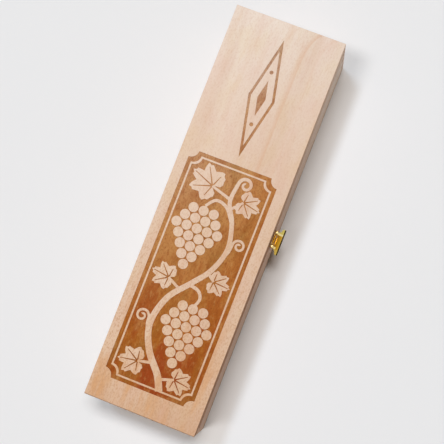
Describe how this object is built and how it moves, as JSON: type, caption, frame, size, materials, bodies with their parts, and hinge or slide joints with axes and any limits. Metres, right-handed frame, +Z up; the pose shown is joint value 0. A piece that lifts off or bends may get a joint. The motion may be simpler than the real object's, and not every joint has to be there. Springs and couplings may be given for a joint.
{
  "type": "wine box",
  "caption": "Hinged wooden box with finger-jointed corners, an engraved lid, a duckbill clasp and a notched neck rest, for one wine bottle.",
  "frame": {"origin": "centre of the underside, on the surface that the box stands on", "axes": "+X along the box to the end that holds the bottle's neck, +Z up through the lid, the clasp on the -Y side and the hinges on +Y"},
  "size_m": [0.35, 0.1097, 0.09],
  "materials": {
    "lid_plywood": "sanded bare plywood with a shallow amber-brown engraved field",
    "plywood": "sanded bare plywood",
    "side_wood": "sanded bare boards",
    "end_wood": "sanded bare boards",
    "rest_wood": "sanded bare slat",
    "clasp_brass": "bright gold-coloured plate",
    "hinge_brass": "bright gold-coloured plate",
    "nail_brass": "bright gold-coloured plate",
    "pin_steel": "dull wire"
  },
  "bodies": {
    "box": {"bottom_panel": "plywood", "body_front_board": "side_wood", "body_back_board": "side_wood", "body_foot_end_board": "end_wood", "body_neck_end_board": "end_wood", "neck_rest": "rest_wood", "hinge_body_leaf_1": "hinge_brass", "hinge_body_leaf_2": "hinge_brass", "hinge_pin_1": "pin_steel", "hinge_pin_2": "pin_steel", "hinge_body_nails": "nail_brass", "clasp_body_nails": "nail_brass", "clasp_hook_plate": "clasp_brass"},
    "lid": {"lid_top_panel": "lid_plywood", "lid_front_board": "side_wood", "lid_back_board": "side_wood", "lid_foot_end_board": "end_wood", "lid_neck_end_board": "end_wood", "hinge_lid_leaf_1": "hinge_brass", "hinge_lid_leaf_2": "hinge_brass", "hinge_lid_nails": "nail_brass", "clasp_lid_plate": "clasp_brass", "clasp_pin": "pin_steel", "clasp_lid_nails": "nail_brass"},
    "hasp": {"clasp_hasp": "clasp_brass"}
  },
  "joints": [
    {"name": "lid_hinge", "type": "hinge", "parent": "box", "child": "lid", "pos_m": [0, 0.051, 0.06235], "axis": [-1, 0, 0], "range_deg": [0, 180]},
    {"name": "hasp_swing", "type": "hinge", "parent": "lid", "child": "hasp", "pos_m": [0.002, -0.05055, 0.0642], "axis": [-1, 0, 0], "range_deg": [0, 140]}
  ]
}
